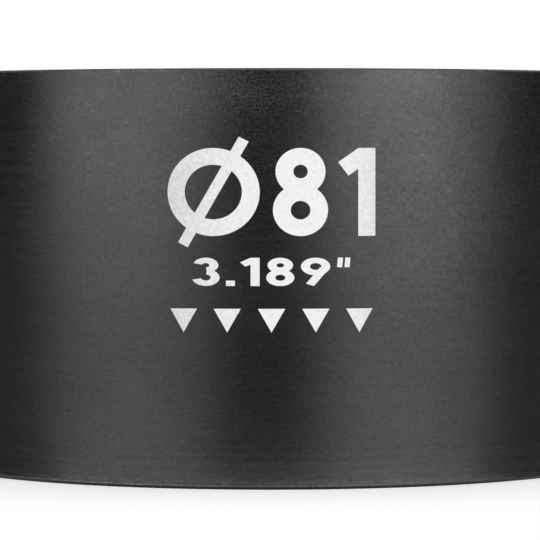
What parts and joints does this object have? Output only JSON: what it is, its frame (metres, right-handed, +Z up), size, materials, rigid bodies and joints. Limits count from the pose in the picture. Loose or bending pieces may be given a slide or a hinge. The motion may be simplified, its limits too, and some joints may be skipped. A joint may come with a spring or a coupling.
{
  "type": "piston ring compressor sleeve",
  "caption": "One-piece tapered sleeve that stands on an engine block: a wide mouth narrows to a straight land that closes piston rings as the piston slides into the cylinder.",
  "frame": {"origin": "centre of the flat face that rests on the engine block", "axes": "+Z up along the bore from the block face to the mouth; -Y faces the side that carries the etched size mark"},
  "size_m": [0.09, 0.09, 0.0508],
  "materials": {
    "black_anodised": "black hard-anodised over a fine turned surface, satin, with a light laser-etched size mark on the front"
  },
  "bodies": {
    "root": {"sleeve": "black_anodised"}
  },
  "joints": []
}
